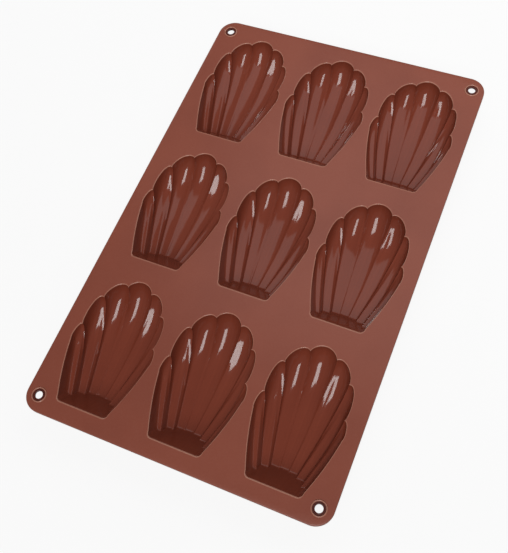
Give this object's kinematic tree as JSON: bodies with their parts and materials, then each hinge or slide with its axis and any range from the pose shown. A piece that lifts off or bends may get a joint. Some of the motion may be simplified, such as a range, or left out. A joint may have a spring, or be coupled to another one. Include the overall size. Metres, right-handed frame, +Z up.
{
  "type": "madeleine pan",
  "caption": "Flexible silicone madeleine pan: fluted fan-shaped cavities in a flat sheet with a beaded rim and a hanging eyelet at each corner, folding at thin strips between its columns.",
  "frame": {"origin": "on the surface that the pan stands on, under the middle of its outline", "axes": "+X across the columns, +Y along the fans from their straight bases to their lobed tips, +Z up out of the cavities"},
  "size_m": [0.175, 0.28, 0.0198],
  "materials": {
    "shell_silicone": "glossy inside, matte outside",
    "sheet_silicone": "satin",
    "rim_silicone": "satin"
  },
  "bodies": {
    "left_column": {"shell_left_back": "shell_silicone", "shell_left_middle": "shell_silicone", "shell_left_front": "shell_silicone", "sheet_left": "sheet_silicone", "rim_back_left": "rim_silicone", "rim_front_left": "rim_silicone", "rim_left": "rim_silicone", "eyelet_back_left": "rim_silicone", "eyelet_front_left": "rim_silicone"},
    "centre_column": {"shell_centre_back": "shell_silicone", "shell_centre_middle": "shell_silicone", "shell_centre_front": "shell_silicone", "sheet_centre": "sheet_silicone", "rim_back_centre": "rim_silicone", "rim_front_centre": "rim_silicone", "bend_strip_left": "sheet_silicone", "bend_strip_right": "sheet_silicone", "bend_rim_back_left": "rim_silicone", "bend_rim_back_right": "rim_silicone", "bend_rim_front_left": "rim_silicone", "bend_rim_front_right": "rim_silicone"},
    "right_column": {"shell_right_back": "shell_silicone", "shell_right_middle": "shell_silicone", "shell_right_front": "shell_silicone", "sheet_right": "sheet_silicone", "rim_back_right": "rim_silicone", "rim_front_right": "rim_silicone", "rim_right": "rim_silicone", "eyelet_back_right": "rim_silicone", "eyelet_front_right": "rim_silicone"}
  },
  "joints": [
    {"name": "fold_left", "type": "hinge", "parent": "centre_column", "child": "left_column", "pos_m": [-0.02745, 0, 0.0184], "axis": [0, 1, 0], "range_deg": [-45, 75], "stiffness_Nm_per_rad": 0.04, "deforming": ["bend_strip_left", "bend_rim_back_left", "bend_rim_front_left"]},
    {"name": "fold_right", "type": "hinge", "parent": "centre_column", "child": "right_column", "pos_m": [0.02745, 0, 0.0184], "axis": [0, -1, 0], "range_deg": [-45, 75], "stiffness_Nm_per_rad": 0.04, "deforming": ["bend_strip_right", "bend_rim_back_right", "bend_rim_front_right"]}
  ]
}
